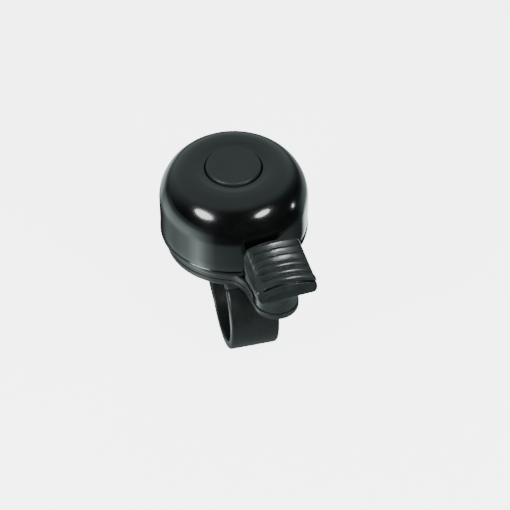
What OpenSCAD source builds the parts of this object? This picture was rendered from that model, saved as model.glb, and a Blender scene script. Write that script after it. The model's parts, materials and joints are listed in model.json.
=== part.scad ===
// Handlebar bell: a steel dome on a plastic base that clamps round the bar.
// A sprung thumb lever on the base's ear swings a hammer inside the dome.
// Origin: centre of the clamp's bore. +X runs along the bar, +Z is the dome's axis, up.

/* [Dome] */
// Outside diameter of the dome's wall
dome_d = 38; // [37.6:0.1:38.4]
// Height of the dome from its rim to its top
dome_h = 20.26; // [20.1:0.02:20.5]
// Sheet thickness
dome_t = 0.9; // [0.8:0.05:1]
// Radius of the shoulder's lower arc
shoulder_low_r = 11.9; // [11.7:0.1:12.1]
// Radius of the shoulder's upper arc
shoulder_top_r = 6.3; // [6.1:0.1:6.5]
// Radius of the well that holds the screw and the cap
well_r = 7.25; // [7.2:0.05:7.3]
// Depth of that well below the dome's top
well_depth = 4.6; // [4.5:0.1:4.8]
// Radius of the shallow dish round the cap
dish_r = 8.9; // [8.6:0.1:9.2]
// Depth of the dish at the well's edge
dish_depth = 0.35; // [0.2:0.05:0.4]
// Height of the rolled bead at the rim
bead_h = 1.45; // [1.2:0.05:1.7]
// How far the bead stands out of the wall
bead_out = 0.12; // [0.05:0.01:0.15]

/* [Base] */
// Diameter of the round base under the dome
base_d = 35.4; // [35.2:0.1:35.6]
// Thickness of the lower plate
plate_t = 1.7; // [1.6:0.1:1.8]
// Thickness of the cup's floor
floor_t = 0.75; // [0.7:0.05:0.8]
// Height of the cup's wall above the plate
cup_h = 2.2; // [2.1:0.05:2.3]
// Thickness of the cup's wall
cup_t = 1.1; // [1:0.05:1.15]
// Gap between the plate's top and the dome's rim
rim_gap = 2.9; // [2.85:0.05:3]
// Distance from the dome's axis to the lever's pivot
ear_reach = 26.2; // [26.1:0.1:26.4]
// Half width of the ear, and the radius of its end
ear_r = 5.75; // [5.7:0.05:5.85]
// Direction of the ear round the dome's axis, degrees from +X
ear_angle = -80; // [-81:0.5:-79]
// Radius of the blend between ear and round base
blend_r = 6; // [5.8:0.1:6.4]

/* [Clamp] */
// Diameter of the handlebar
bar_d = 22.2; // [22.1:0.05:22.3]
// Width of the clamp along the bar
band_w = 12.6; // [12.4:0.1:13]
// Thickness of the strap
band_t = 2.2; // [2.1:0.1:2.3]
// Height of the plate's underside above the bar's axis
plate_z = 11.6; // [11.55:0.05:11.7]
// Distance of the dome's axis from the bar's axis
dome_y = 10.3; // [10.2:0.1:10.4]
// Distance of the clamp screw from the bar's axis
clamp_y = 17.5; // [17.4:0.1:17.6]

/* [Lever] */
// Radius of the lever's hub
hub_r = 5.5; // [5.4:0.05:5.5]
// Slope of the thumb pad, degrees
pad_slope = 25; // [24:0.5:26]
// Radius of the pad's crown across its width
crown_r = 17; // [16.5:0.5:18]
// Number of ribs on the pad
rib_n = 7; // [5:1:7]
// Distance between ribs along the slope
rib_pitch = 1.9; // [1.8:0.05:1.95]
// Radius of each rib
rib_r = 0.7; // [0.6:0.05:0.75]

/* [Fasteners] */
// Radius of the M4 screws' thread
m4_r = 2; // [1.98:0.01:2]
// Radius of the pivot pin
pin_r = 1.5; // [1.45:0.05:1.5]
// Radial clearance of every running fit
run = 0.05; // [0.03:0.01:0.08]

/* [Hidden] */
$fn = 96;
eps = 0.01;
far = 60;

dome_r = dome_d / 2;
base_r = base_d / 2;
bar_r = bar_d / 2;
band_r = bar_r + band_t;

// Levels, upwards
plate_top = plate_z + plate_t;
floor_top = plate_top + floor_t;
rim_z = plate_top + rim_gap;
top_z = rim_z + dome_h;
well_z = top_z - well_depth;

// Dome shoulder: two arcs that meet where the wall has turned by 45 degrees, the upper one level with the top
wall_h = dome_h - shoulder_top_r - (shoulder_low_r - shoulder_top_r) * sin(45);
low_c = [dome_r - shoulder_low_r, rim_z + wall_h];
top_c = low_c + (shoulder_low_r - shoulder_top_r) * [cos(45), sin(45)];
hole_r = 3.3;

// Centre stack under the cap
post_r = 4.6;
post_rib = [1.2, 1, 9];
bush_r = 5.2;
bush_t = 1.5;
post_top = well_z - dome_t - bush_t;
insert_r = 2.9;
insert_l = 9;
insert_rings = [0.5, 3.5, 6.5];
insert_ring_h = 2;
insert_ring_d = 0.2;
washer_t = 0.8;
dome_washer_r = 5;
lock_t = 0.9;
lock_r = 3.5;
lock_split = 0.6;
m4_clear = 0.2;
screw_z = well_z + washer_t + lock_t;
dome_screw_l = 14;
head_r = 3.6;
head_h = 1.9;
head_edge = 0.9;
cap_proud = 0.4;
cap_skirt = 1.05;
cap_t = 1;
cap_edge = 0.55;
cap_gap = 0.25;

// Cup screws: three, clear of the hammer's sweep
cup_screw_ring = 12.3;
cup_screw_angles = [40, 140, 215];
boss_r = 2.3;
boss_h = 4.6;
cup_screw_r = 1.2;
cup_screw_l = 5.2;
cup_head_r = 2.2;
cup_head_h = 1.1;

// Groove along the parting line of cup and plate
groove_h = 0.3;
groove_d = 0.4;

// Lever levels
arm_z = floor_top + 0.65;
arm_t = 0.8;
hub_gap = 0.2;
cavity_z = arm_z + arm_t;
cavity_h = 3.4;
cavity_r = 4.2;
hub_top = 19.6;
eye_r = 2.8;

// Pivot stack under the ear, downwards
ear_bush_r = 2.2;
clip_washer_r = 3.2;
clip_washer_t = 0.5;
clip_r = 2.9;
clip_t = 0.6;
clip_mouth = 1.6;
clip_z = plate_z - clip_washer_t - clip_t - 0.15;
clip_groove = 0.35;
pin_low = plate_z - 1.7;

// Thumb pad in the pivot's frame: x outward along the ear, y across it
pad_in = -6.1;
pad_out = 6;
pad_left = -6.2;
pad_right = 8.7;
pad_corner = 2.4;
crown_y = -0.6;
crown_z = plate_top + 12.75;
pad_t = 4.1;
neck_in = -5.3;
neck_out = 3.2;

// Hammer
arm_w = 2.8;
arm_bend = [-9.8, 1.6];
hammer_at = [-14, 7.6];
hammer_r = 3.1;
hammer_h = 5.2;
hammer_edge = 1.2;
rivet_r = 1;
rivet_head = 0.3;
bumper_at = [-8.6, 3.2];
bumper = [2, 1.3, 1.6];

// Return spring: a torsion coil round the pivot
wire_r = 0.3;
coil_r = 3.45;
coil_turns = 3;
coil_low = cavity_z + 0.4;
coil_pitch = 0.75;

// Strap hinge, inside the band's thickness under the plate
hinge_turn = 127;
hinge = (bar_r + band_t / 2) * [cos(hinge_turn), sin(hinge_turn)];
knuckle_r = 1;
knuckle_w = 4.8;
hinge_gap = 0.25;
hinge_pin_r = 0.5;
hinge_pin_l = 11;

// Clamp screw stack, downwards from the nut
lug_top = 3.7;
boss_low = 5.2;
nut_z = 7;
nut_t = 3.2;
nut_flats = 7;
pocket = nut_flats / 2 + run;
pocket_point = pocket / cos(30);
seat_z = 0.2;
seat_r = 6;
seat_half = 3.8;
lug_low = 1.7;
seat_gap = 0.08;
clamp_washer_r = 3.9;
clamp_washer_t = 0.8;
clamp_head_h = 2.4;
clamp_screw_l = 11.4;
lug_out = 21.4;
cheek_t = 1.7;
slot_from = clamp_y - 0.3;
slot_to = clamp_y + 1.2;
slot_r = m4_r + 0.35;
into_plate = 0.5;

module at_dome() translate([0, dome_y, 0]) children();

module at_ear() at_dome() rotate([0, 0, ear_angle]) children();

module at_pivot() at_ear() translate([ear_reach, 0, 0]) children();

// A sketch in the Y-Z plane, extruded evenly to both sides along the bar
module along_bar(w) translate([-w / 2, 0, 0]) rotate([90, 0, 90]) linear_extrude(w) children();

// A rod along the bar through the point [y, z]
module bar_rod(at, r, w) along_bar(w) translate(at) circle(r);

module tube(r, bore, h) difference() {
  cylinder(r = r, h = h);
  translate([0, 0, -1]) cylinder(r = bore, h = h + 2);
}

// A round button whose upper edge has the radius e
module button(r, h, e) rotate_extrude() union() {
  square([r, h - e]);
  square([r - e, h]);
  translate([r - e, h - e]) intersection() {
    circle(e);
    square(e + 1);
  }
}

module phillips(size, depth) for (turn = [0, 90])
  rotate([0, 0, turn]) translate([-size / 2, -size / 8, -depth]) cube([size, size / 4, depth + 1]);

// Half section of the dome's outline, moved inwards by the distance inset
module dome_half(inset) difference() {
  translate([0, rim_z - inset]) square([dome_r - inset, dome_h]);
  difference() {
    translate([top_c[0], low_c[1]]) square(far);
    intersection() {
      translate(low_c) circle(shoulder_low_r - inset);
      translate(low_c) polygon([[-1, -1], [far, -1], [far, far]]);
    }
    translate(top_c) circle(shoulder_top_r - inset);
  }
}

module dome() color([0.07, 0.07, 0.08]) at_dome() rotate_extrude() difference() {
  union() {
    dome_half(0);
    translate([0, rim_z]) square([dome_r + bead_out, bead_h]);
  }
  difference() {
    dome_half(dome_t);
    translate([0, well_z - dome_t]) square([well_r + dome_t, far]);
  }
  translate([0, well_z]) square([well_r, far]);
  polygon([[0, top_z - dish_depth], [well_r, top_z - dish_depth], [dish_r, top_z],
           [dish_r, top_z + 1], [0, top_z + 1]]);
  square([hole_r, far]);
}

module centre_cap() color([0.13, 0.13, 0.14]) at_dome() {
  translate([0, 0, top_z + cap_proud - cap_t]) button(well_r - cap_gap, cap_t, cap_edge);
  translate([0, 0, well_z + 1])
    tube(well_r - cap_gap, well_r - cap_gap - cap_skirt, top_z + cap_proud - cap_t - well_z - 1);
}

module dome_screw() color("silver") at_dome() translate([0, 0, screw_z]) {
  difference() {
    button(head_r, head_h, head_edge);
    translate([0, 0, head_h]) phillips(3.6, 1.1);
  }
  translate([0, 0, -dome_screw_l]) cylinder(r = m4_r, h = dome_screw_l);
}

// Split spring washer
module lock_washer() color("silver") at_dome() translate([0, 0, well_z + washer_t]) difference() {
  tube(lock_r, m4_r + m4_clear / 2, lock_t);
  translate([0, -lock_split / 2, -1]) cube([far, lock_split, lock_t + 2]);
}

module dome_washer() color("silver") at_dome() translate([0, 0, well_z])
  tube(dome_washer_r, m4_r + m4_clear, washer_t);

// Nylon bush: its flange carries the dome, its spigot centres the dome's hole
module dome_bush() color("ivory") at_dome() translate([0, 0, post_top]) {
  tube(bush_r, m4_r + m4_clear, bush_t);
  tube(hole_r - run, m4_r + m4_clear, bush_t + dome_t - eps);
}

module post_insert() color("gold") at_dome() translate([0, 0, post_top - insert_l]) difference() {
  union() {
    cylinder(r = insert_r - insert_ring_d, h = insert_l);
    for (z = insert_rings) translate([0, 0, z]) cylinder(r = insert_r, h = insert_ring_h);
  }
  translate([0, 0, -1]) cylinder(r = m4_r + eps, h = insert_l + 2);
}

// Plan of the base: a round disc with an ear, blended on both sides
module base_plan(inset) {
  r = base_r - inset;
  w = ear_r - inset;
  blend_y = ear_r + blend_r;
  blend_x = sqrt(pow(base_r + blend_r, 2) - pow(blend_y, 2));
  on_disc = [blend_x, blend_y] * r / (base_r + blend_r);
  circle(r);
  translate([0, -w]) square([ear_reach, 2 * w]);
  translate([ear_reach, 0]) circle(w);
  for (side = [0, 1]) mirror([0, side]) difference() {
    polygon([[r / 2, 0], on_disc, [blend_x, blend_y], [blend_x, 0]]);
    translate([blend_x, blend_y]) circle(blend_r + inset);
  }
}

module at_cup_screws() for (turn = cup_screw_angles)
  at_dome() rotate([0, 0, turn]) translate([cup_screw_ring, 0, 0]) children();

module base_cup() color([0.16, 0.16, 0.17]) difference() {
  union() {
    at_ear() translate([0, 0, plate_top]) difference() {
      linear_extrude(cup_h) base_plan(0.05);
      translate([0, 0, floor_t]) linear_extrude(cup_h) base_plan(cup_t);
      difference() {
        translate([0, 0, -1]) linear_extrude(1 + groove_h) base_plan(-1);
        translate([0, 0, -2]) linear_extrude(4) base_plan(groove_d);
      }
    }
    at_dome() translate([0, 0, plate_top]) cylinder(r = post_r, h = post_top - plate_top);
    for (turn = [0, 90, 180, 270]) at_dome() rotate([0, 0, turn + 10])
      translate([0, -post_rib[1] / 2, plate_top]) cube([post_r + post_rib[0], post_rib[1], post_rib[2]]);
    at_cup_screws() translate([0, 0, plate_top]) cylinder(r = boss_r, h = boss_h);
  }
  at_dome() translate([0, 0, post_top - insert_l]) cylinder(r = insert_r, h = far);
  at_dome() translate([0, 0, screw_z - dome_screw_l - 1]) cylinder(r = m4_r + m4_clear, h = far);
  at_cup_screws() translate([0, 0, plate_top - 1]) cylinder(r = cup_screw_r, h = boss_h);
  // The ear's end is open for the lever
  at_pivot() translate([0, 0, plate_top - 1]) cylinder(r = hub_r + 0.35, h = far);
  at_pivot() translate([0, -far / 2, plate_top - 1]) cube(far);
}

// Three countersunk screws that hold the cup on the plate
module cup_screws() color("silver") at_cup_screws() {
  translate([0, 0, plate_z]) difference() {
    union() {
      cylinder(r1 = cup_head_r, r2 = cup_screw_r, h = cup_head_h);
      cylinder(r = cup_screw_r, h = cup_screw_l);
    }
    mirror([0, 0, 1]) phillips(2.4, 0.6);
  }
}

module base_plate() color([0.14, 0.14, 0.15]) difference() {
  union() {
    at_ear() translate([0, 0, plate_z]) linear_extrude(plate_t) base_plan(0);
    // Saddle over the bar, with the screw's boss on the far side
    along_bar(band_w) difference() {
      union() {
        intersection() {
          circle(band_r);
          polygon([[0, 0], far * [cos(hinge_turn), sin(hinge_turn)], [0, far]]);
          translate([-far, 0]) square([2 * far, plate_z + into_plate]);
        }
        translate([0, boss_low]) square([lug_out, plate_z + into_plate - boss_low]);
      }
      circle(bar_r);
    }
    bar_rod(hinge, knuckle_r, knuckle_w);
  }
  // Room for the strap's two knuckles, beside the plate's own
  for (side = [-1, 1]) translate([side * (knuckle_w + band_w + 2) / 4, 0, 0])
    bar_rod(hinge, knuckle_r + hinge_gap, (band_w + 2 - knuckle_w) / 2);
  bar_rod(hinge, hinge_pin_r + run / 2, knuckle_w + 1);
  // Screw bore and nut pocket, open on the boss's far face
  translate([0, clamp_y, 0]) cylinder(r = m4_r + m4_clear, h = plate_z);
  translate([0, clamp_y, nut_z - run]) linear_extrude(nut_t + 2 * run)
    polygon([[-pocket, far], [-pocket, -pocket_point / 2], [0, -pocket_point],
             [pocket, -pocket_point / 2], [pocket, far]]);
  // Countersinks, the ear's bush and the spring's anchor hole
  at_cup_screws() translate([0, 0, plate_z]) {
    cylinder(r = cup_screw_r + m4_clear, h = far);
    translate([0, 0, -eps]) cylinder(r1 = cup_head_r + m4_clear, r2 = cup_screw_r + m4_clear, h = cup_head_h);
  }
  at_pivot() translate([0, 0, plate_z - 1]) cylinder(r = ear_bush_r, h = far);
  at_pivot() translate([coil_r, 0, plate_z - 1]) cylinder(r = wire_r + 0.15, h = far);
}

// Flanged brass bush in the ear
module ear_bush() color("gold") at_pivot() difference() {
  union() {
    translate([0, 0, plate_z]) cylinder(r = ear_bush_r, h = plate_t);
    translate([0, 0, plate_top]) cylinder(r = eye_r, h = arm_z - plate_top - 0.1);
  }
  cylinder(r = pin_r + run, h = far);
}

module clip_washer() color("silver") at_pivot() translate([0, 0, plate_z - run - clip_washer_t])
  tube(clip_washer_r, pin_r + run, clip_washer_t);

// Open retaining clip in the pin's groove
module pivot_clip() color("dimgray") at_pivot() translate([0, 0, clip_z]) difference() {
  tube(clip_r, pin_r - clip_groove, clip_t);
  translate([0, -clip_mouth / 2, -1]) cube([far, clip_mouth, clip_t + 2]);
}

module pivot_pin() color("silver") at_pivot() difference() {
  translate([0, 0, pin_low]) cylinder(r = pin_r, h = hub_top - 1 - pin_low);
  translate([0, 0, clip_z - 2 * eps]) tube(pin_r + 1, pin_r - clip_groove - 2 * eps, clip_t + 4 * eps);
}

// Rounded rectangle from corner a to corner b
module soft_plan(a, b, r) {
  translate([a[0], a[1] + r]) square([b[0] - a[0], b[1] - a[1] - 2 * r]);
  translate([a[0] + r, a[1]]) square([b[0] - a[0] - 2 * r, b[1] - a[1]]);
  for (x = [a[0] + r, b[0] - r], y = [a[1] + r, b[1] - r]) translate([x, y]) circle(r);
}

// The pad's own frame: x down the slope, origin on the crown above the pivot
module on_slope() translate([0, crown_y, crown_z]) rotate([0, pad_slope, 0]) children();

module crown(r) on_slope() translate([-far / 2, 0, -crown_r]) rotate([0, 90, 0]) cylinder(r = r, h = far);

module thumb_pad() {
  intersection() {
    translate([0, 0, plate_top]) linear_extrude(far / 2)
      soft_plan([pad_in, pad_left], [pad_out, pad_right], pad_corner);
    crown(crown_r - rib_r / 2);
    on_slope() translate([-far / 2, -far / 2, -pad_t]) cube([far, far, pad_t + 1]);
  }
  intersection() {
    translate([0, 0, plate_top]) linear_extrude(far / 2)
      soft_plan([pad_in + 0.1, pad_left + 0.3], [pad_out - 0.1, pad_right - 0.3], pad_corner);
    for (i = [0 : rib_n - 1]) on_slope()
      translate([(i - (rib_n - 1) / 2) * rib_pitch, 0, -crown_r]) rotate([0, 90, 0])
        rotate_extrude() translate([crown_r - rib_r, 0]) circle(rib_r, $fn = 24);
    on_slope() translate([-far / 2, -far / 2, -pad_t]) cube([far, far, pad_t + 1]);
  }
}

module arm_path(w) {
  circle(eye_r);
  for (leg = [[[0, 0], arm_bend], [arm_bend, hammer_at]]) {
    reach = leg[1] - leg[0];
    translate(leg[0]) rotate(atan2(reach[1], reach[0])) translate([0, -w / 2]) square([norm(reach), w]);
  }
  translate(arm_bend) circle(w / 2);
  translate(hammer_at) circle(w / 2);
}

module thumb_lever() color([0.2, 0.2, 0.21]) at_pivot() difference() {
  union() {
    translate([0, 0, plate_top + hub_gap]) cylinder(r = hub_r, h = hub_top - plate_top - hub_gap);
    intersection() {
      translate([0, 0, hub_top - 1.5]) linear_extrude(far / 2)
        soft_plan([neck_in, pad_left + 0.4], [neck_out, hub_r - 0.5], 1.8);
      on_slope() translate([-far / 2, -far / 2, -far]) cube([far, far, far - pad_t + 0.5]);
    }
    thumb_pad();
  }
  translate([0, 0, plate_top]) cylinder(r = pin_r, h = hub_top - plate_top - 1);
  translate([0, 0, plate_top]) cylinder(r = cavity_r, h = arm_z + arm_t - plate_top + 0.05);
  translate([0, 0, cavity_z]) tube(cavity_r, eye_r - 0.2, cavity_h);
  // Notch through which the arm leaves, and the spring's upper hole
  translate([0, 0, plate_top]) linear_extrude(arm_z + arm_t - plate_top + 0.05) arm_path(arm_w + 0.1);
  translate([-coil_r, 0, cavity_z]) cylinder(r = wire_r + 0.05, h = cavity_h + 1.6);
}

// Points of the spring's centre line: lower leg, coil, upper leg
function coil_point(turn) = [coil_r * cos(360 * turn), coil_r * sin(360 * turn), coil_low + coil_pitch * turn];
coil_steps = 20;
coil_end = coil_turns + 0.5;
spring_path = concat(
  [[coil_r, 0, plate_z + 0.2], [coil_r, 0, coil_low - 0.4]],
  [for (i = [1 : coil_end * coil_steps - 1]) coil_point(i / coil_steps)],
  [[-coil_r, 0, coil_low + coil_pitch * coil_end + 0.4], [-coil_r, 0, cavity_z + cavity_h + 1.2]]
);

// A round wire swept along a path, its rings square to the path
module wire(path, r, sides) {
  n = len(path);
  dirs = [for (i = [0 : n - 1]) let (d = path[min(i + 1, n - 1)] - path[max(i - 1, 0)]) d / norm(d)];
  rings = [for (i = [0 : n - 1]) let (
    out = [path[i][0], path[i][1], 0] / norm([path[i][0], path[i][1]]),
    b = cross(dirs[i], out) / norm(cross(dirs[i], out)),
    a = cross(b, dirs[i])
  ) for (k = [0 : sides - 1]) path[i] + r * (cos(360 * k / sides) * a + sin(360 * k / sides) * b)];
  sides_faces = [for (i = [0 : n - 2], k = [0 : sides - 1])
    [i * sides + k, i * sides + (k + 1) % sides, (i + 1) * sides + (k + 1) % sides, (i + 1) * sides + k]];
  ends = [[for (k = [sides - 1 : -1 : 0]) k], [for (k = [0 : sides - 1]) (n - 1) * sides + k]];
  polyhedron(rings, concat(sides_faces, ends));
}

module return_spring() color("silver") at_pivot() wire(spring_path, wire_r, 8);

module hammer_arm() color("silver") at_pivot() translate([0, 0, arm_z]) difference() {
  linear_extrude(arm_t) arm_path(arm_w);
  translate([0, 0, -1]) cylinder(r = pin_r, h = 3);
  translate([hammer_at[0], hammer_at[1], -1]) cylinder(r = rivet_r, h = 3);
}

// Striker with its rivet shank through the arm
module hammer_head() color("silver") at_pivot() translate([hammer_at[0], hammer_at[1], arm_z]) {
  translate([0, 0, arm_t]) button(hammer_r, hammer_h, hammer_edge);
  cylinder(r = rivet_r, h = arm_t + 1);
  translate([0, 0, -rivet_head]) cylinder(r = rivet_r + rivet_head, h = rivet_head);
}

// Rubber stop beside the arm
module rest_bumper() color([0.1, 0.1, 0.1]) at_pivot()
  translate([bumper_at[0], bumper_at[1], floor_top]) cube(bumper);

// Side outline of the lug's two cheeks, from under the strap to the lug's top
cheek = [[0, 0], [6.8, -10.4], [15.6, -7.8], [20.6, -2.5], [lug_out, lug_low], [lug_out, lug_top],
         [0, lug_top]];

module clamp_strap() color([0.14, 0.14, 0.15]) difference() {
  union() {
    along_bar(band_w) difference() {
      union() {
        intersection() {
          circle(band_r);
          polygon([[0, 0], far * [cos(hinge_turn), sin(hinge_turn)], [-far, far], [-far, -far], [far, -far],
                   [far, lug_top], [0, lug_top]]);
        }
        translate(hinge) circle(knuckle_r);
      }
      circle(bar_r);
    }
    // Lug with a rounded seat for the washer
    along_bar(band_w) difference() {
      union() {
        translate([bar_r, lug_low]) square([lug_out - bar_r, lug_top - lug_low]);
        intersection() {
          translate([clamp_y, seat_z + seat_r]) circle(seat_r);
          translate([clamp_y - seat_half, seat_z - 1]) square([2 * seat_half, lug_top - seat_z + 1]);
        }
      }
      circle(bar_r);
    }
    for (side = [-1, 1]) translate([side * (band_w - cheek_t) / 2, 0, 0]) along_bar(cheek_t) difference() {
      polygon(cheek);
      circle(bar_r);
    }
  }
  // Room for the plate's knuckle, and the pin's hole, blind on one side
  bar_rod(hinge, knuckle_r + hinge_gap, knuckle_w + 2 * hinge_gap);
  translate([-hinge_pin_l / 2 - 0.1, hinge[0], hinge[1]]) rotate([0, 90, 0])
    cylinder(r = hinge_pin_r + run, h = far);
  // Long hole, so that the strap can swing round its pin while the screw stays upright
  for (y = [slot_from, slot_to]) translate([0, y, -far / 2]) cylinder(r = slot_r, h = far);
  translate([-slot_r, slot_from, -far / 2]) cube([2 * slot_r, slot_to - slot_from, far]);
}

module strap_pin() color("silver") bar_rod(hinge, hinge_pin_r, hinge_pin_l);

module clamp_nut() color("silver") translate([0, clamp_y, nut_z]) difference() {
  rotate([0, 0, 30]) cylinder(r = nut_flats / 2 / cos(30), h = nut_t, $fn = 6);
  translate([0, 0, -1]) cylinder(r = m4_r + run, h = nut_t + 2);
}

module clamp_washer() color("silver")
  translate([0, clamp_y, seat_z - seat_gap - clamp_washer_t]) tube(clamp_washer_r, m4_r + run, clamp_washer_t);

module clamp_screw() color("silver") translate([0, clamp_y, seat_z - seat_gap - clamp_washer_t - eps]) {
  difference() {
    mirror([0, 0, 1]) button(head_r, clamp_head_h, head_edge);
    translate([0, 0, -clamp_head_h]) mirror([0, 0, 1]) phillips(4, 1.5);
  }
  cylinder(r = m4_r, h = clamp_screw_l);
}

dome();
centre_cap();
dome_screw();
lock_washer();
dome_washer();
dome_bush();
post_insert();
base_cup();
cup_screws();
base_plate();
ear_bush();
clip_washer();
pivot_clip();
pivot_pin();
thumb_lever();
return_spring();
hammer_arm();
hammer_head();
rest_bumper();
clamp_strap();
strap_pin();
clamp_nut();
clamp_screw();
clamp_washer();
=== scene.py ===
"""Handlebar bell: detailed pieces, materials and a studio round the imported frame.

Lengths are millimetres until a mesh or a light is made.
"""
import json
import math

import bmesh
import bpy
import numpy as np
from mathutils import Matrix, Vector

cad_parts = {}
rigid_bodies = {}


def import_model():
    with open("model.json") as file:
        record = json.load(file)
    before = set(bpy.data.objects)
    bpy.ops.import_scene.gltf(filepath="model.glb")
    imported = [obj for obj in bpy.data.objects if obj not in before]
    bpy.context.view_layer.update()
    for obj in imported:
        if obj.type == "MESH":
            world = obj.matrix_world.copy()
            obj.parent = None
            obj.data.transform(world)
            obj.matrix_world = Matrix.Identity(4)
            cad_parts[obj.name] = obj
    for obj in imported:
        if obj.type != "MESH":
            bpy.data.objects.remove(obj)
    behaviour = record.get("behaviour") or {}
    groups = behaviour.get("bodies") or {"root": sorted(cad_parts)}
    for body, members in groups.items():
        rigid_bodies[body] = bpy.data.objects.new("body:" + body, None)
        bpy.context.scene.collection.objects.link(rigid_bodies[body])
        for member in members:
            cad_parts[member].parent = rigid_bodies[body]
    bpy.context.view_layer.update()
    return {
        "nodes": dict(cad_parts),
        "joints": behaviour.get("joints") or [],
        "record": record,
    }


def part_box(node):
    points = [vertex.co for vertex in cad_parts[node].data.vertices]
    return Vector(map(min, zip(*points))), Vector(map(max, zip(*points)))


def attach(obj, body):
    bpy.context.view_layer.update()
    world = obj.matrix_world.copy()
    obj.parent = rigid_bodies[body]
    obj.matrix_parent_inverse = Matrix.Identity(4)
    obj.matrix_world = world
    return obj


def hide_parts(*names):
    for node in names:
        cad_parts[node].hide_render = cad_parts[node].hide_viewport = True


MM = 0.001
# The default file's cube, lamp and camera go
for leftover in list(bpy.data.objects):
    bpy.data.objects.remove(leftover)
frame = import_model()

# ---------------------------------------------------------------- places and sizes, from the frame


def box_mm(node):
    """Low and high corners of a CAD node's box."""
    low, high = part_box(node)
    return low / MM, high / MM


def joint_mm(name):
    """Where a joint's axis passes."""
    joint = next(j for j in frame["joints"] if j["name"] == name)
    return Vector(joint["pos_m"]) / MM


BAR_R = frame["record"]["mounts"][0]["dims"]["r_mm"]
dome_low, dome_high = box_mm("dome")
_, cup_high = box_mm("base_cup")
plate_low, plate_high = box_mm("base_plate")
cap_low, cap_high = box_mm("centre_cap")
strap_low, strap_high = box_mm("clamp_strap")
nut_low, nut_high = box_mm("clamp_nut")

AXIS = Vector((0.0, (dome_low.y + dome_high.y) / 2, 0.0))
PIVOT = joint_mm("lever_pivot")
EAR_TURN = math.atan2(PIVOT.y - AXIS.y, PIVOT.x - AXIS.x)
EAR_REACH = math.hypot(PIVOT.y - AXIS.y, PIVOT.x - AXIS.x)
HINGE = joint_mm("strap_hinge")
CLAMP_Y = joint_mm("clamp_screw_turn").y

# Base: the plate, the cup on it, and the blend between round base and ear
PLATE_TOP = plate_high.z
PLATE_T = 1.7
PLATE_Z = PLATE_TOP - PLATE_T
CUP_INNER = 1.1
CUP_H = 2.2
FLOOR_T = 0.75
BASE_R = cup_high.x + 0.05
EAR_R = PIVOT.y - plate_low.y
BLEND_R = 6.0
HUB_ROOM_R = 5.85

# Clamp: half the band's width, its radius, the screw's lug, and the hinge. HINGE_TURN is in degrees from +Y
BAND_HALF = strap_high.x
BAND_R = -strap_low.z
LUG_OUT = strap_high.y
LUG_TOP = 3.7
KNUCKLE_R = 1.0
KNUCKLE_HALF = 2.4
KNUCKLE_GAP = 0.25
HINGE_TURN = math.degrees(math.atan2(HINGE.z, HINGE.y))

# ---------------------------------------------------------------- mesh helpers

SHARP = 38.0


def arc(centre, radius, start, stop, steps):
    """Points on an arc in degrees, ends included."""
    turns = [math.radians(start + (stop - start) * i / steps) for i in range(steps + 1)]
    return [(centre[0] + radius * math.cos(t), centre[1] + radius * math.sin(t)) for t in turns]


def lerp(a, b, t):
    return a + (b - a) * t


def ease(t):
    """Smooth step from 0 to 1."""
    t = np.clip(t, 0.0, 1.0)
    return t * t * (3 - 2 * t)


def shade(obj, sharp=SHARP):
    """Smooth shading, with the edges steeper than sharp degrees kept."""
    obj.data.polygons.foreach_set("use_smooth", [True] * len(obj.data.polygons))
    obj.data.set_sharp_from_angle(angle=math.radians(sharp))


def make_piece(name, verts, faces, sharp=SHARP):
    """A shaded mesh object from millimetre points."""
    mesh = bpy.data.meshes.new(name)
    mesh.from_pydata([tuple(c * MM for c in v) for v in verts], [], faces)
    bm = bmesh.new()
    bm.from_mesh(mesh)
    bmesh.ops.remove_doubles(bm, verts=bm.verts, dist=1e-8)
    bmesh.ops.recalc_face_normals(bm, faces=bm.faces)
    bm.to_mesh(mesh)
    bm.free()
    obj = bpy.data.objects.new(name, mesh)
    bpy.context.scene.collection.objects.link(obj)
    shade(obj, sharp)
    return obj


def revolve(name, profile, centre, segments):
    """Turns a closed (r, z) outline round the upright line through centre. Points on the line become poles."""
    verts, faces, rows = [], [], []
    for r, z in profile:
        if r < 1e-6:
            rows.append([len(verts)] * segments)
            verts.append((centre[0], centre[1], z))
        else:
            rows.append(list(range(len(verts), len(verts) + segments)))
            for i in range(segments):
                t = 2 * math.pi * i / segments
                verts.append((centre[0] + r * math.cos(t), centre[1] + r * math.sin(t), z))
    for a, b in zip(rows, rows[1:] + rows[:1]):
        if a[0] == a[1] and b[0] == b[1]:
            continue
        for i in range(segments):
            j = (i + 1) % segments
            corners = [a[i], a[j], b[j], b[i]]
            faces.append([c for k, c in enumerate(corners) if c not in corners[:k]])
    return make_piece(name, verts, faces)


def offset_loop(points, distance, weights=None):
    """Moves a counter-clockwise closed outline inwards, by distance times each point's weight."""
    out = []
    n = len(points)
    for i in range(n):
        before, here, after = points[i - 1], points[i], points[(i + 1) % n]
        d1 = Vector((here[0] - before[0], here[1] - before[1])).normalized()
        d2 = Vector((after[0] - here[0], after[1] - here[1])).normalized()
        n1, n2 = Vector((-d1.y, d1.x)), Vector((-d2.y, d2.x))
        middle = (n1 + n2).normalized()
        reach = distance * (weights[i] if weights else 1.0) / max(0.35, middle.dot(n1))
        out.append((here[0] + middle.x * reach, here[1] + middle.y * reach))
    return out


def edge_rows(edge, steps=6):
    """(height, inset) rows of a rounded lower edge, from the flat face upwards."""
    if edge <= 0:
        return [(0.0, 0.0)]
    turns = [math.pi / 2 * i / steps for i in range(steps + 1)]
    return [(edge * (1 - math.cos(t)), edge * (1 - math.sin(t))) for t in turns]


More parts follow.
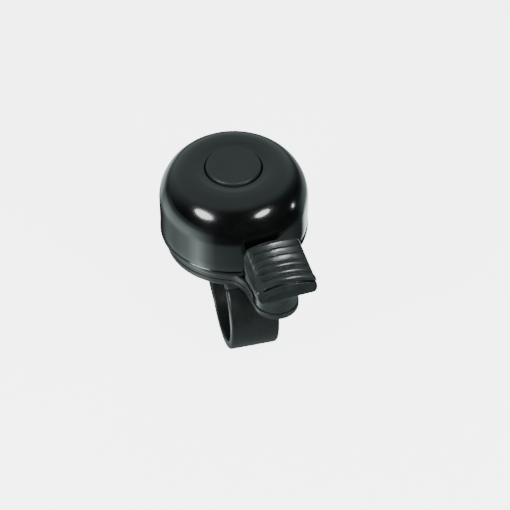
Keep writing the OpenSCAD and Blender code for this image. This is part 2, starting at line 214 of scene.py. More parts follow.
def prism(name, outline, depth, place, low_edge, high_edge, middle=(), weights=None):
    """A solid on a counter-clockwise outline, with rounded edges.

    place maps an outline's point and a height to space. middle holds extra (height, inset) rows.
    """
    high = [(depth - h, inset) for h, inset in reversed(edge_rows(high_edge))]
    rows = edge_rows(low_edge) + list(middle) + high
    n = len(outline)
    verts, faces = [], []
    for height, inset in rows:
        loop = offset_loop(outline, inset, weights) if inset else outline
        verts += [place(x, y, height) for x, y in loop]
    for k in range(len(rows) - 1):
        for i in range(n):
            j = (i + 1) % n
            faces.append([k * n + i, k * n + j, (k + 1) * n + j, (k + 1) * n + i])
    faces.append(list(range(n - 1, -1, -1)))
    faces.append([(len(rows) - 1) * n + i for i in range(n)])
    return make_piece(name, verts, faces)


def along_bar(x_low):
    """Places a Y-Z sketch with its depth along the bar, from x_low upwards."""
    return lambda y, z, h: (x_low + h, y, z)


def upright(z_low, origin=(0.0, 0.0), turn=0.0):
    """Places a plan sketch at a height, turned and moved."""
    c, s = math.cos(turn), math.sin(turn)
    return lambda x, y, h: (origin[0] + c * x - s * y, origin[1] + s * x + c * y, z_low + h)


def rod(name, low, high, radius):
    """A plain cylinder between two points."""
    segments = 64
    a, b = Vector(low), Vector(high)
    along = (b - a).normalized()
    side = along.orthogonal().normalized()
    other = along.cross(side)
    turns = [2 * math.pi * i / segments for i in range(segments)]
    ring = [(math.cos(t), math.sin(t)) for t in turns]
    verts = [tuple(end + radius * (c * side + s * other)) for end in (a, b) for c, s in ring]
    faces = [[i, (i + 1) % segments, segments + (i + 1) % segments, segments + i]
             for i in range(segments)]
    faces += [list(range(segments - 1, -1, -1)), list(range(segments, 2 * segments))]
    return make_piece(name, verts, faces)


def cut(obj, *others):
    """Takes the others out of obj, and removes them."""
    for other in others:
        modifier = obj.modifiers.new("cut", "BOOLEAN")
        modifier.operation = "DIFFERENCE"
        modifier.solver = "EXACT"
        modifier.object = other
    depsgraph = bpy.context.evaluated_depsgraph_get()
    mesh = bpy.data.meshes.new_from_object(obj.evaluated_get(depsgraph))
    obj.modifiers.clear()
    obj.data = mesh
    for other in others:
        bpy.data.objects.remove(other)
    shade(obj)


def joined(name, parts):
    """One object that holds the shells of all parts."""
    bm = bmesh.new()
    for part in parts:
        bm.from_mesh(part.data)
    mesh = bpy.data.meshes.new(name)
    bm.to_mesh(mesh)
    bm.free()
    for part in parts:
        bpy.data.objects.remove(part)
    obj = bpy.data.objects.new(name, mesh)
    bpy.context.scene.collection.objects.link(obj)
    shade(obj)
    return obj


def net(field, low, high, cell):
    """Vertices and quads of the surface where field is zero.

    Each grid cell that the surface crosses gets one vertex, and each grid edge that it crosses one quad.
    """
    axes = [np.arange(low[a], high[a] + cell, cell) for a in range(3)]
    grid = np.meshgrid(*axes, indexing="ij")
    f = field(*grid)
    shape = tuple(s - 1 for s in f.shape)
    total = np.zeros(shape + (3,))
    count = np.zeros(shape)
    edges = []
    for a in range(3):
        f0 = np.take(f, range(f.shape[a] - 1), axis=a)
        f1 = np.take(f, range(1, f.shape[a]), axis=a)
        hit = np.argwhere((f0 < 0) != (f1 < 0))
        v0, v1 = f0[tuple(hit.T)], f1[tuple(hit.T)]
        point = hit * cell + np.array(low)
        point[:, a] += cell * v0 / (v0 - v1)
        b, c = (a + 1) % 3, (a + 2) % 3
        around = []
        for db, dc in ((0, 0), (-1, 0), (-1, -1), (0, -1)):
            at = hit.copy()
            at[:, b] += db
            at[:, c] += dc
            around.append(at)
            ok = np.all((at >= 0) & (at < shape), axis=1)
            np.add.at(total, tuple(at[ok].T), point[ok])
            np.add.at(count, tuple(at[ok].T), 1)
        edges.append((around, v0 < 0))
    used = count > 0
    index = np.full(shape, -1)
    index[used] = np.arange(used.sum())
    verts = total[used] / count[used][:, None]
    faces = []
    for around, inward in edges:
        ok = np.all([np.all((at >= 0) & (at < shape), axis=1) for at in around], axis=0)
        quad = np.stack([index[tuple(at[ok].T)] for at in around], axis=1)
        quad[~inward[ok]] = quad[~inward[ok]][:, ::-1]
        faces.append(quad)
    # Newton steps, none longer than 0.3 of a cell, bring the vertices onto the surface
    step = 0.01
    for _ in range(4):
        here = field(*verts.T)
        slope = np.stack([(field(*(verts + step * side).T) - field(*(verts - step * side).T)) / (2 * step)
                          for side in np.eye(3)], 1)
        move = -(here / np.maximum((slope ** 2).sum(1), 0.2))[:, None] * slope
        length = np.linalg.norm(move, axis=1)[:, None]
        verts = verts + move * np.minimum(1.0, 0.3 * cell / np.maximum(length, 1e-9))
    return verts, np.concatenate(faces)


def soft_max(a, b, k):
    """The larger of two fields, with the corner between them rounded over the width k."""
    h = np.maximum(k - np.abs(a - b), 0.0) / k
    return np.maximum(a, b) + h * h * k / 4


def soft_min(a, b, k):
    """The smaller of two fields, with its corner rounded the same way."""
    return -soft_max(-a, -b, k)


def rounded_box_2d(x, y, x0, x1, y0, y1, r):
    """Distance field of a rectangle with rounded corners."""
    qx = np.abs(x - (x0 + x1) / 2) - (x1 - x0) / 2 + r
    qy = np.abs(y - (y0 + y1) / 2) - (y1 - y0) / 2 + r
    return np.hypot(np.maximum(qx, 0), np.maximum(qy, 0)) + np.minimum(np.maximum(qx, qy), 0) - r


# ---------------------------------------------------------------- materials

NOISE_LOW, NOISE_HIGH = 0.3, 0.72


def material(name):
    """A new material, its nodes and links, and its shader."""
    mat = bpy.data.materials.new(name)
    mat.use_nodes = True
    return mat, mat.node_tree.nodes, mat.node_tree.links, mat.node_tree.nodes["Principled BSDF"]


def noise(nodes, links, scale, detail, roughness=0.5):
    """Noise in the piece's own coordinates, with scale in features per metre."""
    coords = nodes.new("ShaderNodeTexCoord")
    texture = nodes.new("ShaderNodeTexNoise")
    texture.inputs["Scale"].default_value = scale
    texture.inputs["Detail"].default_value = detail
    texture.inputs["Roughness"].default_value = roughness
    links.new(coords.outputs["Object"], texture.inputs["Vector"])
    return texture


def ramp(nodes, links, source, low, high):
    """Colour or grey that runs from low to high with a noise."""
    node = nodes.new("ShaderNodeValToRGB")
    for element, position, value in zip(node.color_ramp.elements, (NOISE_LOW, NOISE_HIGH), (low, high)):
        element.position = position
        element.color = (*value, 1.0) if isinstance(value, tuple) else (value, value, value, 1.0)
    links.new(source, node.inputs["Fac"])
    return node


def bump(nodes, links, height, strength, distance, shader, over=None):
    """Bump on the shader, on top of another bump if over names one."""
    node = nodes.new("ShaderNodeBump")
    node.inputs["Strength"].default_value = strength
    node.inputs["Distance"].default_value = distance
    links.new(height, node.inputs["Height"])
    if over is not None:
        links.new(over.outputs["Normal"], node.inputs["Normal"])
    links.new(node.outputs["Normal"], shader.inputs["Normal"])
    return node


def enamel():
    """Gloss black stove enamel with a little orange peel."""
    mat, nodes, links, shader = material("gloss_black_enamel")
    shader.inputs["Coat Weight"].default_value = 0.5
    shader.inputs["Coat Roughness"].default_value = 0.06
    haze = noise(nodes, links, 180.0, 5.0)
    tone = ramp(nodes, links, haze.outputs["Fac"], (0.0022, 0.0022, 0.0023), (0.004, 0.004, 0.0042))
    links.new(tone.outputs["Color"], shader.inputs["Base Color"])
    gloss = ramp(nodes, links, haze.outputs["Fac"], 0.14, 0.2)
    links.new(gloss.outputs["Color"], shader.inputs["Roughness"])
    peel = noise(nodes, links, 900.0, 2.0)
    bump(nodes, links, peel.outputs["Fac"], 0.05, 0.0001, shader)
    return mat


def plastic(name, dark, light, rough_low, rough_high, grain=0.12, grain_scale=2600.0):
    """Moulded plastic: fine grain, with tone and gloss that vary a little."""
    mat, nodes, links, shader = material(name)
    patches = noise(nodes, links, 260.0, 6.0, 0.6)
    tone = ramp(nodes, links, patches.outputs["Fac"], dark, light)
    links.new(tone.outputs["Color"], shader.inputs["Base Color"])
    gloss = ramp(nodes, links, patches.outputs["Fac"], rough_low, rough_high)
    links.new(gloss.outputs["Color"], shader.inputs["Roughness"])
    fine = noise(nodes, links, grain_scale, 3.0, 0.6)
    soft = bump(nodes, links, patches.outputs["Fac"], 0.05, 0.0004, shader)
    bump(nodes, links, fine.outputs["Fac"], grain, 0.00006, shader, over=soft)
    return mat


def metal(name, dark, light, rough_low, rough_high):
    """Plated or bare metal: mottled tone and micro scratches."""
    mat, nodes, links, shader = material(name)
    shader.inputs["Metallic"].default_value = 1.0
    patches = noise(nodes, links, 420.0, 5.0, 0.6)
    tone = ramp(nodes, links, patches.outputs["Fac"], dark, light)
    links.new(tone.outputs["Color"], shader.inputs["Base Color"])
    fine = noise(nodes, links, 1800.0, 4.0, 0.7)
    gloss = ramp(nodes, links, fine.outputs["Fac"], rough_low, rough_high)
    links.new(gloss.outputs["Color"], shader.inputs["Roughness"])
    bump(nodes, links, fine.outputs["Fac"], 0.1, 0.00004, shader)
    return mat


MATERIALS = {
    "dome_paint": enamel(),
    "cap_plastic": plastic("satin_cap", (0.016, 0.017, 0.018), (0.022, 0.023, 0.024), 0.42, 0.52, 0.1),
    "black_plastic": plastic("base_plastic", (0.0165, 0.018, 0.018), (0.0275, 0.029, 0.029), 0.28, 0.4),
    "lever_plastic": plastic("lever_plastic", (0.015, 0.0168, 0.0168), (0.026, 0.0285, 0.0285), 0.17, 0.29),
    "strap_plastic": plastic("strap_plastic", (0.008, 0.0088, 0.0085), (0.0115, 0.0125, 0.0122), 0.32, 0.4,
                             0.2, 1500.0),
    "zinc_steel": metal("zinc_plate", (0.5, 0.51, 0.52), (0.68, 0.69, 0.68), 0.22, 0.38),
    "spring_steel": metal("oiled_spring_steel", (0.26, 0.27, 0.29), (0.4, 0.4, 0.41), 0.25, 0.42),
    "brass": metal("turned_brass", (0.6, 0.42, 0.16), (0.76, 0.56, 0.26), 0.2, 0.34),
    "nylon": plastic("natural_nylon", (0.66, 0.63, 0.54), (0.76, 0.73, 0.65), 0.35, 0.5),
    "rubber": plastic("black_rubber", (0.012, 0.012, 0.012), (0.02, 0.02, 0.02), 0.7, 0.85, 0.2),
}


def dress(obj, slot_name):
    """Gives obj the one material of the named slot."""
    obj.data.materials.clear()
    obj.data.materials.append(MATERIALS[slot_name])


def finish_piece(obj, body, slot_name, *nodes):
    """Material, body and the CAD nodes that the piece stands for."""
    dress(obj, slot_name)
    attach(obj, body)
    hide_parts(*nodes)


# ---------------------------------------------------------------- dome and cap

# The wall turns into the top through two arcs, LOW_R and TOP_R, that meet at 45 degrees
RIM_Z = dome_low.z
DOME_H = dome_high.z - dome_low.z
BEAD_OUT = 0.12
DOME_R = (dome_high.x - dome_low.x) / 2 - BEAD_OUT
DOME_T = 0.9
LOW_R = 11.9
TOP_R = 6.3
WELL_R = 7.25
WELL_DEPTH = 4.6
DISH_DEPTH = 0.35
HOLE_R = 3.3
STEP = (LOW_R - TOP_R) * math.sqrt(0.5)
LOW_C = (DOME_R - LOW_R, DOME_H - TOP_R - STEP)
TOP_C = (LOW_C[0] + STEP, DOME_H - TOP_R)


def dome_profile():
    """Closed section of the sheet: bead, wall, shoulder, dish, well, and back down the inside."""
    bead_r = DOME_R + BEAD_OUT
    inner = DOME_R - DOME_T
    floor = DOME_H - WELL_DEPTH
    under = DOME_H - DOME_T
    rows = [(inner + 0.1, 0.12), (inner + 0.3, 0.0), (bead_r - 0.42, 0.0)]
    rows += arc((bead_r - 0.42, 0.42), 0.42, -80, 0, 8)
    rows += [(bead_r, 0.8), (bead_r - 0.005, 1.1), (bead_r - 0.04, 1.3), (DOME_R - 0.07, 1.43),
             (DOME_R - 0.1, 1.5), (DOME_R - 0.06, 1.6), (DOME_R, 1.78), (DOME_R, 4.0), (DOME_R, 7.0)]
    rows += arc(LOW_C, LOW_R, 0, 45, 28)
    rows += arc(TOP_C, TOP_R, 46.5, 90, 28)
    rows += [(lerp(10.2, 7.55, i / 14), DOME_H - DISH_DEPTH * float(ease(i / 14))) for i in range(15)]
    rows += arc((WELL_R + 0.3, DOME_H - DISH_DEPTH - 0.3), 0.3, 90, 180, 6)
    rows += [(WELL_R, floor + 1.2), (WELL_R, floor + 0.4), (WELL_R - 0.12, floor + 0.12), (WELL_R - 0.4, floor),
             (HOLE_R + 0.15, floor), (HOLE_R, floor - 0.15), (HOLE_R, floor - DOME_T + 0.15),
             (HOLE_R + 0.15, floor - DOME_T), (WELL_R + 0.4, floor - DOME_T),
             (WELL_R + 0.8, floor - DOME_T + 0.3), (WELL_R + DOME_T, floor), (WELL_R + DOME_T, under - 1.4),
             (WELL_R + DOME_T + 0.4, under - 0.4), (WELL_R + DOME_T + 1.2, under)]
    rows += reversed(arc(TOP_C, TOP_R - DOME_T, 45, 90, 20))
    rows += reversed(arc(LOW_C, LOW_R - DOME_T, 0, 44, 20))
    rows += [(inner, 5.0), (inner, 0.6)]
    return [(r, z + RIM_Z) for r, z in rows]


def cap_profile():
    """Closed section of the snap cap: a faintly dished disc with a rounded edge, and a skirt."""
    r, top, low = (cap_high.x - cap_low.x) / 2, cap_high.z, cap_low.z
    edge = 0.55
    rows = [(0.0, top - 0.04), (3.0, top - 0.03), (5.2, top - 0.01), (r - edge - 0.3, top)]
    rows += reversed(arc((r - edge, top - edge), edge, 0, 90, 10))
    rows += [(r, top - 1.1), (r, low + 0.2), (r - 0.2, low), (r - 0.85, low), (r - 1.05, low + 0.2),
             (r - 1.05, top - 1.2), (r - 1.5, top - 1.0), (0.0, top - 1.0)]
    return rows


finish_piece(revolve("bell_dome", dome_profile(), AXIS, 192), "root", "dome_paint", "dome")
finish_piece(revolve("snap_cap", cap_profile(), AXIS, 128), "root", "cap_plastic", "centre_cap")

# ---------------------------------------------------------------- base: plate and cup

BLEND_Y = EAR_R + BLEND_R
BLEND_X = math.sqrt((BASE_R + BLEND_R) ** 2 - BLEND_Y ** 2)
BLEND_TURN = math.degrees(math.atan2(BLEND_Y, BLEND_X))


def base_side(inset):
    """One side of the plan in the ear's frame, from the disc's back to where the ear's side is straight."""
    return (arc((0, 0), BASE_R - inset, 180, BLEND_TURN, 64)
            + arc((BLEND_X, BLEND_Y), BLEND_R + inset, 180 + BLEND_TURN, 270, 16)[1:])


def closed_both_sides(side, end):
    """A closed counter-clockwise outline from one side, what closes its end, and the side's mirror image."""
    lower = [(x, -y) for x, y in side[1:]]
    return lower + end + list(reversed(side))


def hub_gap(y):
    """Where the hub's clearance circle crosses the line at y."""
    return EAR_REACH - math.sqrt(HUB_ROOM_R ** 2 - y ** 2)


def plate_outline():
    """The lower plate: the disc and the ear's round end."""
    return closed_both_sides(base_side(0.0), arc((EAR_REACH, 0), EAR_R, -90, 90, 40))


def floor_outline():
    """The cup's floor: the base's plan, smaller all round, and cut off at the lever's hub."""
    y = EAR_R - 0.4
    turn = math.degrees(math.atan2(y, EAR_REACH - hub_gap(y)))
    return closed_both_sides(base_side(0.4), arc((EAR_REACH, 0), HUB_ROOM_R, 180 + turn, 180 - turn, 20))


def wall_outline(outer_inset, inner_inset):
    """The cup's wall: an open ring round the disc and along the ear."""
    outer, inner = base_side(outer_inset), base_side(inner_inset)
    outer.append((hub_gap(EAR_R - outer_inset), EAR_R - outer_inset))
    inner.append((hub_gap(EAR_R - inner_inset), EAR_R - inner_inset))
    both = [[(x, -y) for x, y in reversed(s)] + s[1:] for s in (outer, inner)]
    return list(reversed(both[0] + list(reversed(both[1]))))


def on_ear(z_low):
    """Places a sketch that has its X along the ear."""
    return upright(z_low, (AXIS.x, AXIS.y), EAR_TURN)


def make_cup():
    """Upper shell: floor, wall with a step along the parting line, post with ribs, and screw bosses."""
    post_top = box_mm("dome_bush")[0].z
    parts = [
        prism("floor", floor_outline(), FLOOR_T, on_ear(PLATE_TOP), 0, 0),
        prism("foot", wall_outline(0.4, CUP_INNER), 0.5, on_ear(PLATE_TOP), 0, 0),
        prism("wall", wall_outline(0.05, CUP_INNER), CUP_H - 0.3, on_ear(PLATE_TOP + 0.3), 0.12, 0.25),
    ]
    post_r, bore_r, insert_r, insert_h = 4.6, 2.2, 2.9, 9
    profile = [(bore_r, PLATE_TOP), (post_r, PLATE_TOP), (post_r, PLATE_TOP + FLOOR_T),
               (post_r, post_top - 0.3), (post_r - 0.3, post_top), (insert_r, post_top),
               (insert_r, post_top - insert_h), (bore_r, post_top - insert_h)]
    parts.append(revolve("post", profile, AXIS, 64))
    rib = [(3.6, -0.5), (post_r + 1.2, -0.5), (post_r + 1.2, 0.5), (3.6, 0.5)]
    for turn in (10, 100, 190, 280):
        parts.append(prism("rib", rib, 9, upright(PLATE_TOP, (AXIS.x, AXIS.y), math.radians(turn)), 0, 0.3))
    low, top = PLATE_TOP + 0.1, PLATE_TOP + 4.6
    boss = [(0, low), (2.3, low), (2.3, top - 0.2), (2.1, top), (0, top)]
    for at in (arc(AXIS, 12.3, turn, turn, 1)[0] for turn in (40, 140, 215)):
        parts.append(revolve("boss", boss, at, 48))
    return joined("upper_shell", parts)


def ring_points(radius, start, stop, steps):
    """Points round the bar, in degrees from +Y."""
    return arc((0, 0), radius, start, stop, steps)


def ring_point(radius, turn):
    return ring_points(radius, turn, turn, 1)[0]


def make_plate():
    """Lower plate with the ear, the saddle over the bar, the hinge knuckles and the nut's boss."""
    plate = prism("plate", plate_outline(), PLATE_T, on_ear(PLATE_Z), 0.5, 0.12)
    boss_low = plate_low.z
    bore_end = math.degrees(math.asin(boss_low / BAR_R))
    top = PLATE_Z + 0.4
    outer_turn = 180 - math.degrees(math.asin(top / BAND_R))
    # The arcs stop short of the hinge's corner, so that the rounded edge doesn't fold over itself there
    corner = HINGE_TURN - 4.5
    outline = [(LUG_OUT, top)] + ring_points(BAND_R, outer_turn, corner, 4)
    outline += [ring_point(BAND_R, HINGE_TURN), ring_point(BAR_R, HINGE_TURN)]
    outline += ring_points(BAR_R, corner, bore_end, 56) + [(LUG_OUT, boss_low)]
    saddle = prism("saddle", outline, 2 * BAND_HALF, along_bar(-BAND_HALF), 0.6, 0.6,
                   weights=bore_weights(outline))
    # The nut's pocket has two flats and a point of the hexagon, and is open at the outside
    pocket, point = 3.55, 3.55 / math.cos(math.radians(30))
    hexagon = [(-pocket, -point / 2), (0, -point), (pocket, -point / 2), (pocket, 20), (-pocket, 20)]
    cut(saddle,
        hinge_rod("room_left", -BAND_HALF - 1, -KNUCKLE_HALF, KNUCKLE_R + KNUCKLE_GAP),
        hinge_rod("room_right", KNUCKLE_HALF, BAND_HALF + 1, KNUCKLE_R + KNUCKLE_GAP),
        rod("bore", (0, CLAMP_Y, 0), (0, CLAMP_Y, PLATE_Z), 2.2),
        prism("pocket", hexagon, nut_high.z - nut_low.z + 0.1, upright(nut_low.z - 0.05, (0, CLAMP_Y)), 0, 0))
    knuckle = hinge_rod("knuckle", -KNUCKLE_HALF, KNUCKLE_HALF, KNUCKLE_R)
    return joined("lower_shell", [plate, saddle, knuckle])


def bore_weights(outline):
    """Full edge rounding on the outside, a third of it along the bore."""
    return [lerp(0.35, 1.0, ease((math.hypot(*p) - BAR_R) / 1.2)) for p in outline]


def hinge_rod(name, start, stop, radius):
    """A rod round the strap's hinge axis, between two places along the bar."""
    return rod(name, (start, HINGE.y, HINGE.z), (stop, HINGE.y, HINGE.z), radius)


finish_piece(make_cup(), "root", "black_plastic", "base_cup")
finish_piece(make_plate(), "root", "black_plastic", "base_plate")

# ---------------------------------------------------------------- strap


def make_strap():
    """Strap: ring with a flash line along its middle, hinge knuckle, and a lug with two webs."""
    lug_start = math.degrees(math.asin(LUG_TOP / BAR_R))
    tip = arc((HINGE.y, HINGE.z), (BAND_R - BAR_R) / 2, HINGE_TURN - 180, HINGE_TURN, 20)
    ring = tip + ring_points(BAND_R, HINGE_TURN + 1, 353, 120)
    # The washer's seat is a cylinder under the lug, so the washer bears on it at any angle of the strap
    seat_r = 6.0
    seat_turn = math.degrees(math.acos((LUG_OUT - CLAMP_Y) / seat_r))
    seat = arc((CLAMP_Y, 6.2), seat_r, 180 + seat_turn, 360 - seat_turn, 10)
    outline = ring + seat + [(LUG_OUT, LUG_TOP)] + ring_points(BAR_R, 360 + lug_start, HINGE_TURN + 1, 110)
    flash = [(BAND_HALF + across, -raised) for across, raised in
             ((-0.35, 0.0), (-0.1, 0.0), (-0.04, 0.05), (0.04, 0.05), (0.1, 0.0), (0.35, 0.0))]
    body = prism("strap", outline, 2 * BAND_HALF, along_bar(-BAND_HALF), 0.75, 0.75, flash,
                 bore_weights(outline))
    slot_r = 2.35
    slot = arc((CLAMP_Y + 1.2, 0), slot_r, -90, 90, 23) + arc((CLAMP_Y - 0.3, 0), slot_r, 90, 270, 23)
    cut(body, prism("slot", slot, 30, lambda y, x, h: (-x, y, -15 + h), 0, 0),
        hinge_rod("room", -KNUCKLE_HALF - KNUCKLE_GAP, KNUCKLE_HALF + KNUCKLE_GAP, KNUCKLE_R + KNUCKLE_GAP))
    parts = [body]
    web = [(LUG_OUT - 0.05, LUG_TOP - 0.3), (10.8, LUG_TOP - 0.3)] + ring_points(12.2, 2, -55, 16)
    web += [(15.6, -7.8), (20.6, -2.5), (LUG_OUT - 0.05, 1.7)]
    # The side inside the ring stays square, the others are rounded
    weights = [0.0 if math.hypot(*p) < 12.3 else 1.0 for p in web]
    web_t = 1.7
    for low, edges in ((-BAND_HALF + 0.01, (0.55, 0.3)), (BAND_HALF - web_t - 0.01, (0.3, 0.55))):
        parts.append(prism("web", web, web_t, along_bar(low), *edges, weights=weights))
    return joined("clamp_band", parts)


finish_piece(make_strap(), "strap", "strap_plastic", "clamp_strap")

# ---------------------------------------------------------------- thumb lever

# In the pivot's frame above the plate: u runs outwards along the ear, v across it, z up
PAD_LEFT, PAD_RIGHT, PAD_IN, PAD_OUT = -6.3, 8.8, -6.1, 6.0
HUB_R = 5.5
SPRING_ROOM_R, SPRING_ROOM_TOP = 4.2, 5.1

# Ribs: height of the pattern, place of a crest in its pitch, and crest and valley as shares of the height
FIRST_RIB, LAST_RIB = -3, 2
RIB_H = 0.6
RIB_CREST = -0.1
CREST, VALLEY = 0.38, -0.62

# The dark line over the end face is a slot that runs inwards and down
SLOT_U, SLOT_Z = -0.77, -0.64
SLOT_R = 0.24


def pad_surface(u, v):
    """Height of the pad's crowned top without its ribs."""
    return 12.65 - 0.466 * u - 0.0297 * (v + 0.6) ** 2 + 0.009 * np.maximum(v - 1.0, 0.0) ** 2


def rib_grid(v):
    """Middle of the rib pattern and its pitch: the ribs fan out a little to the right."""
    across = (v - PAD_LEFT) / (PAD_RIGHT - PAD_LEFT)
    return lerp(0.3, 0.65, across), lerp(1.6, 1.78, across)


def ribs(u, v):
    """Ribs with a long face towards the thumb, sharper further out. They die out before the pad's sides."""
    middle, pitch = rib_grid(v)
    step = (u - middle) / pitch
    q = step - np.clip(np.round(step), FIRST_RIB, LAST_RIB)
    front = np.clip((q - RIB_CREST) / (0.5 - RIB_CREST), 0, 1) ** lerp(1.2, 2.3, ease((u + 1.2) / 2.0))
    back = np.clip((RIB_CREST - q) / (0.5 + RIB_CREST), 0, 1) ** 1.8
    wave = CREST - np.maximum(front, back)
    before = FIRST_RIB - 0.5 - step
    wave = np.where(before > 0, VALLEY - VALLEY * ease(before / 0.35), wave)
    past = step - LAST_RIB - 0.5
    wave = np.where(past > 0, VALLEY + 0.3 * ease(past / 0.16), wave)
    fade = ease((v - PAD_LEFT - 0.6) / 1.3) * ease((PAD_RIGHT - 0.15 - v) / 1.0)
    return RIB_H * wave * fade


def pad_field(u, v, z):
    """The ribbed pad, with a sloping end face, a left side that bulges lower down, and a sloping underside."""
    top = (z - pad_surface(u, v) - ribs(u, v)) / 1.12
    left = PAD_LEFT - ease((12.0 - z) / 3.0)
    end = PAD_OUT + 0.25 - 0.35 * np.clip(z - 6.2, 0.0, 6.0)
    wall = rounded_box_2d(u, v, PAD_IN, end, left, PAD_RIGHT, 1.3)
    under = (5.35 - 0.1 * v + 0.42 * (PAD_OUT - u) - z) / 1.08
    return soft_max(soft_max(top, wall, lerp(1.5, 0.5, ease((u - 3.0) / 1.5))), under, 1.3)


def neck_field(u, v, z):
    """The round hub, which turns into a squarer neck under the pad."""
    t = ease((z - 2.6) / 5.2)
    inner, outer = -lerp(HUB_R, 5.3, t), lerp(HUB_R, 5.55, t)
    left, right = lerp(-HUB_R, PAD_LEFT - 0.72, t), lerp(HUB_R, 5.1, t)
    side = rounded_box_2d(u, v, inner, outer, left, right, lerp(5.45, 2.6, t))
    return soft_max(side, z - pad_surface(u, v) + 1.6, 0.5)


def slot_field(u, v, z):
    """The slot between the last rib and the end face. It closes towards the left."""
    middle, pitch = rib_grid(v)
    mouth_u = middle + (LAST_RIB + 0.5) * pitch + 0.25
    mouth_z = pad_surface(mouth_u, v) - 0.5
    along = np.clip(SLOT_U * (u - mouth_u) + SLOT_Z * (z - mouth_z), -0.6, 0.9)
    off = np.hypot(u - mouth_u - SLOT_U * along, z - mouth_z - SLOT_Z * along)
    return off - SLOT_R * ease((v - PAD_LEFT - 0.2) / 1.2)


def lever_field(u, v, z):
    """Distance-like field of the lever: a pad that overhangs to the right, on a neck, over a hollow hub."""
    lever = soft_min(pad_field(u, v, z), neck_field(u, v, z), 1.0)
    lever = soft_max(lever, 0.2 - z, 0.4)
    hollow = soft_max(np.hypot(u, v) - SPRING_ROOM_R, z - SPRING_ROOM_TOP, 0.2)
    return soft_max(soft_max(lever, -slot_field(u, v, z), 0.1), -hollow, 0.15)


verts, quads = net(lever_field, (-7.2, -8.4, -0.4), (7.2, 9.8, 16.8), 0.125)
place = upright(PLATE_TOP, (PIVOT.x, PIVOT.y), EAR_TURN)
lever = make_piece("ribbed_lever", [place(*p) for p in verts], quads.tolist(), 180.0)
finish_piece(lever, "lever", "lever_plastic", "thumb_lever")

# ---------------------------------------------------------------- materials of the carried-over CAD nodes

for entry in frame["record"]["subparts"]:
    node = frame["nodes"][entry["node"]]
    if not node.hide_render:
        dress(node, entry["material_slot"])

# ---------------------------------------------------------------- studio

CENTRE = Vector((0.0, 10.0, 20.0))
TINT = (0.83, 1.0, 0.99)


def look(obj, target):
    """Turns a camera or light towards a place."""
    obj.rotation_euler = (target * MM - obj.location).to_track_quat("-Z", "Y").to_euler()


def direction(azimuth, elevation):
    """The way from the object to a viewer, in degrees. Azimuth 0 is the object's front."""
    a, e = math.radians(azimuth), math.radians(elevation)
    return Vector((math.sin(a) * math.cos(e), -math.cos(a) * math.cos(e), math.sin(e)))


def card(name, azimuth, elevation, distance, width, height, power, colour=(0.95, 1.0, 1.0)):
    """An oval soft light that faces the object."""
    data = bpy.data.lights.new(name, "AREA")
    data.shape = "ELLIPSE"
    data.size, data.size_y = width * MM, height * MM
    data.energy = power
    data.color = colour
    obj = bpy.data.objects.new(name, data)
    obj.location = (CENTRE + direction(azimuth, elevation) * distance) * MM
    bpy.context.scene.collection.objects.link(obj)
    look(obj, CENTRE)
    return obj


def only_for(obj, *rays):
    """Shows a piece of the studio to the named kinds of ray alone."""
    for kind in ("camera", "diffuse", "glossy", "transmission", "volume_scatter", "shadow"):
        setattr(obj, "visible_" + kind, kind in rays)


def glow(name, strength):
    """A plain white glowing material, its nodes and links, and the emission node."""
    mat = bpy.data.materials.new(name)
    mat.use_nodes = True
    nodes, links = mat.node_tree.nodes, mat.node_tree.links
    nodes.clear()
    emit = nodes.new("ShaderNodeEmission")
    emit.inputs["Strength"].default_value = strength
    links.new(emit.outputs["Emission"], nodes.new("ShaderNodeOutputMaterial").inputs["Surface"])
    return mat, nodes, links, emit


def smooth_range(nodes, links, source, start, stop, low=0.0, high=1.0):
    """low up to where the source is start, high from where it is stop, and a smooth step between."""
    node = nodes.new("ShaderNodeMapRange")
    node.interpolation_type = "SMOOTHSTEP"
    for name, value in (("From Min", start), ("From Max", stop), ("To Min", low), ("To Max", high)):
        node.inputs[name].default_value = value
    links.new(source, node.inputs["Value"])
    return node.outputs["Result"]


def azimuth_ramp(nodes, links, source, stops):
    """Brightness by azimuth, from stops of (azimuth in degrees, value)."""
    node = nodes.new("ShaderNodeValToRGB")
    elements = node.color_ramp.elements
    while len(elements) < len(stops):
        elements.new(0.5)
    for element, (turn, value) in zip(elements, stops):
        element.position, element.color = 0.5 + turn / 360, (*(value * part for part in TINT), 1.0)
    links.new(source, node.inputs["Fac"])
    return node.outputs["Color"]


# ---------------------------------------------------------------- camera

AZIMUTH, ELEVATION = -14, 45
TOWARDS, RIGHT = direction(AZIMUTH, ELEVATION), direction(AZIMUTH + 90, 0)
UP = TOWARDS.cross(RIGHT)
LENS = 120.0
SENSOR = 36.0
VIEW_WIDTH = 132.0

camera_data = bpy.data.cameras.new("camera")
camera_data.lens = LENS
camera_data.sensor_width = SENSOR
camera = bpy.data.objects.new("camera", camera_data)
bpy.context.scene.collection.objects.link(camera)
aim = Vector((0.0, AXIS.y, RIM_Z)) + 5.41 * RIGHT - 8.02 * UP
camera.location = (aim + TOWARDS * (VIEW_WIDTH * LENS / SENSOR)) * MM
look(camera, aim)
bpy.context.scene.camera = camera

# ---------------------------------------------------------------- floor, backdrop and what the gloss mirrors

# The unseen table sits under the strap at rest. The floor is lower, clear of the strap when it swings open
TABLE_Z = strap_low.z - 0.03
FLOOR_Z = strap_low.z - 1.3
FLOOR_HALF, SHELL_R, TABLE_R = 2500.0, 2400.0, 600.0

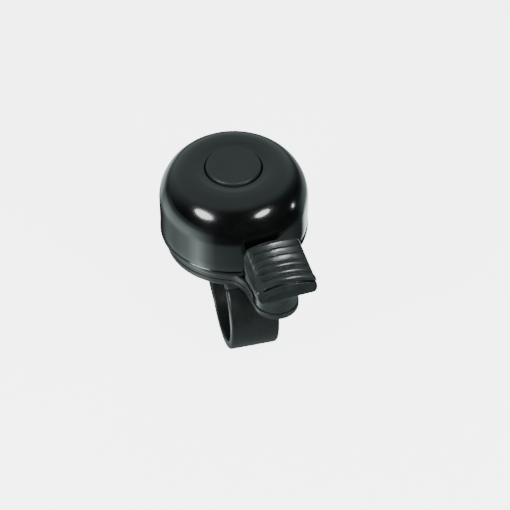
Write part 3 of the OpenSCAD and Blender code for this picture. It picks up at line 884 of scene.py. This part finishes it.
corners = ((-1, -1), (1, -1), (1, 1), (-1, 1))
floor = make_piece("floor", [(x * FLOOR_HALF, y * FLOOR_HALF, FLOOR_Z) for x, y in corners], [[0, 1, 2, 3]])
white, _, _, shader = material("pale_floor")
shader.inputs["Base Color"].default_value = (0.9, 0.9, 0.9, 1.0)
shader.inputs["Roughness"].default_value = 0.9
shader.inputs["Emission Color"].default_value = (1.0, 1.0, 1.0, 1.0)
shader.inputs["Emission Strength"].default_value = 4.5
floor.data.materials.append(white)
only_for(floor, "camera", "shadow")

# A pale shell behind everything, for the camera alone
quarter = [(0.0, SHELL_R)] + arc((0, 0), SHELL_R, 80, 0, 8) + [(SHELL_R, -30.0), (0.0, -30.0)]
shell = revolve("backdrop", quarter, (0, 0), 48)
shell.data.materials.append(glow("pale_backdrop", 5.2)[0])
only_for(shell, "camera")

# The table as the gloss surfaces mirror it: bright at the left, grey at the right and the back, dark in front.
# It has one pattern near the object, another one further out, and fades with distance
table = make_piece("table_reflection", [(x, y, 0.0) for x, y in arc((0, 0), TABLE_R, 0, 352.5, 47)],
                   [list(range(48))])
table.location = (0.0, 0.01, TABLE_Z * MM)
table.rotation_euler = (0.0, 0.0, -math.pi / 2)
mat, nodes, links, emit = glow("table_sheen", 1.0)
coords = nodes.new("ShaderNodeTexCoord")
turn = nodes.new("ShaderNodeTexGradient")
turn.gradient_type = "RADIAL"
links.new(coords.outputs["Object"], turn.inputs["Vector"])
near = azimuth_ramp(nodes, links, turn.outputs["Fac"], (
    (-165, 0.02), (-138, 0.05), (-118, 0.4), (-100, 0.5), (-78, 1.1), (-62, 2.6), (-50, 1.2), (-38, 0.5),
    (5, 0.35), (45, 0.4), (80, 0.1), (98, 0.03), (111, 2.2), (150, 2.2), (179, 0.1)))
far = azimuth_ramp(nodes, links, turn.outputs["Fac"], (
    (-179, 0.6), (-158, 1.3), (-145, 1.1), (-135, 0.5), (-118, 1.4), (-100, 1.6), (-75, 2.2), (-60, 1.6),
    (-50, 0.8), (-38, 0.1), (-20, 0.03), (40, 0.01), (85, 0.03), (102, 0.4), (150, 0.6), (179, 0.6)))
reach = nodes.new("ShaderNodeVectorMath")
reach.operation = "LENGTH"
links.new(coords.outputs["Object"], reach.inputs[0])
blend = nodes.new("ShaderNodeMix")
blend.data_type = "RGBA"
links.new(smooth_range(nodes, links, reach.outputs["Value"], 0.052, 0.085), blend.inputs["Factor"])
for socket, pattern in (("A", near), ("B", far)):
    links.new(pattern, next(i for i in blend.inputs if i.name == socket and i.enabled))
links.new(next(o for o in blend.outputs if o.type == "RGBA"), emit.inputs["Color"])
links.new(smooth_range(nodes, links, reach.outputs["Value"], 0.1, 0.26, 1.0, 0.18), emit.inputs["Strength"])
table.data.materials.append(mat)
only_for(table, "glossy")

# What the gloss surfaces mirror above the table: dark in front, grey overhead and behind
world = bpy.data.worlds.new("studio")
world.use_nodes = True
nodes, links = world.node_tree.nodes, world.node_tree.links
background = nodes["Background"]
background.inputs["Color"].default_value = (*TINT, 1.0)
coords = nodes.new("ShaderNodeTexCoord")
height = nodes.new("ShaderNodeVectorMath")
height.operation = "DOT_PRODUCT"
height.inputs[1].default_value = (0.0, 0.6, 0.8)
links.new(coords.outputs["Generated"], height.inputs[0])
sky = smooth_range(nodes, links, height.outputs["Value"], 0.12, 0.72, 0.02, 0.56)
links.new(sky, background.inputs["Strength"])
bpy.context.scene.world = world

# ---------------------------------------------------------------- lights


def lever_group(name, link_state):
    """A light-linking group that has the lever in it, or every piece but the lever."""
    group = bpy.data.collections.new(name)
    group.objects.link(lever)
    group.collection_objects[0].light_linking.link_state = link_state
    return group


card("key_left", -62, 28, 400, 190, 100, 1.3)
key_right = card("key_right", 34, 31, 400, 150, 64, 0.72)
lever_key = card("lever_key", 45, 37, 400, 96, 30, 0.5)
lever_key.light_linking.receiver_collection = lever_group("lever_only", "INCLUDE")
key_right.light_linking.receiver_collection = lever_group("all_but_the_lever", "EXCLUDE")
fill = card("fill", 8, 5, 500, 500, 200, 2.6, TINT)
fill.visible_glossy = False
card("glint", 80, -2, 300, 20, 34, 0.035)
card("glint_low", 79, -15, 260, 14, 12, 0.006)
